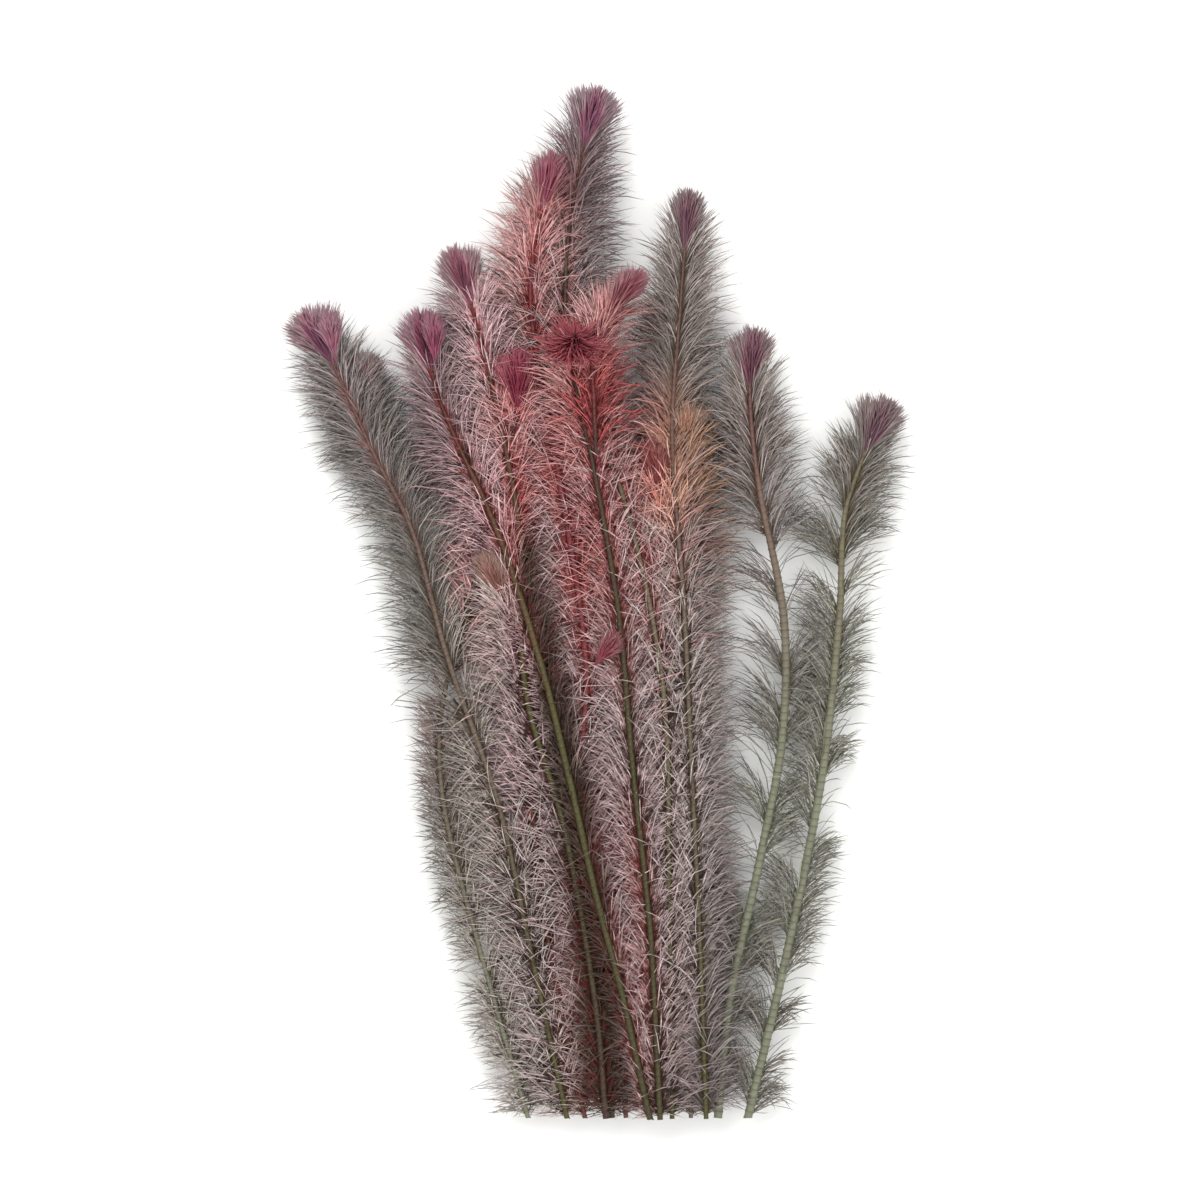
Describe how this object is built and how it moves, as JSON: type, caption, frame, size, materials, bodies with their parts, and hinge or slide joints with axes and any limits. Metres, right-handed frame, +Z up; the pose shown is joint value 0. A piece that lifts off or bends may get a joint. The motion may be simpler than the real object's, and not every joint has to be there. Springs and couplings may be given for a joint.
{
  "type": "rotala bunch",
  "caption": "Fan-shaped bunch of fine needle-leaved rotala shoots with pink growing tips, cut straight across and lying on its side.",
  "frame": {"origin": "under the middle of the bunch's box, on the surface that it lies on", "axes": "+Y along the stems from the straight cut to the growing tips, +X to the right seen from above with the cut nearest, +Z up off the surface"},
  "size_m": [0.128, 0.208, 0.0253],
  "materials": {
    "mauve_shoot": "fine mauve-grey leaves on a thin olive-brown stem",
    "pink_shoot": "fine grey-pink leaves on a thin red-brown stem",
    "crimson_shoot": "fine crimson leaves on a thin red stem",
    "sage_shoot": "fine sage-grey leaves on a thicker pale green stem",
    "magenta_crown": "crowded young leaves, magenta to purple at the middle",
    "rose_crown": "crowded young leaves, rose pink",
    "dark_red_crown": "crowded young leaves, dark red at the middle",
    "crimson_crown": "crowded young leaves, crimson"
  },
  "bodies": {
    "root": {"stem_far_left": "mauve_shoot", "stem_rear_left": "pink_shoot", "stem_second_left": "mauve_shoot", "stem_third_left": "mauve_shoot", "stem_top_left": "pink_shoot", "stem_top": "mauve_shoot", "stem_middle": "pink_shoot", "stem_middle_side": "crimson_shoot", "stem_rear_red": "crimson_shoot", "stem_right_of_middle": "mauve_shoot", "stem_rear_orange": "pink_shoot", "stem_right": "sage_shoot", "stem_far_right": "sage_shoot", "stem_short_red": "crimson_shoot", "stem_far_left_side": "pink_shoot", "crown_far_left": "magenta_crown", "crown_rear_left": "rose_crown", "crown_second_left": "dark_red_crown", "crown_third_left": "magenta_crown", "crown_top_left": "rose_crown", "crown_top": "magenta_crown", "crown_middle": "dark_red_crown", "crown_middle_side": "dark_red_crown", "crown_rear_red": "rose_crown", "crown_right_of_middle": "magenta_crown", "crown_rear_orange": "rose_crown", "crown_right": "magenta_crown", "crown_far_right": "magenta_crown", "crown_short_red": "rose_crown", "crown_far_left_side": "rose_crown", "bud_far_left": "rose_crown", "bud_second_left": "rose_crown", "bud_top_left": "crimson_crown"}
  },
  "joints": []
}
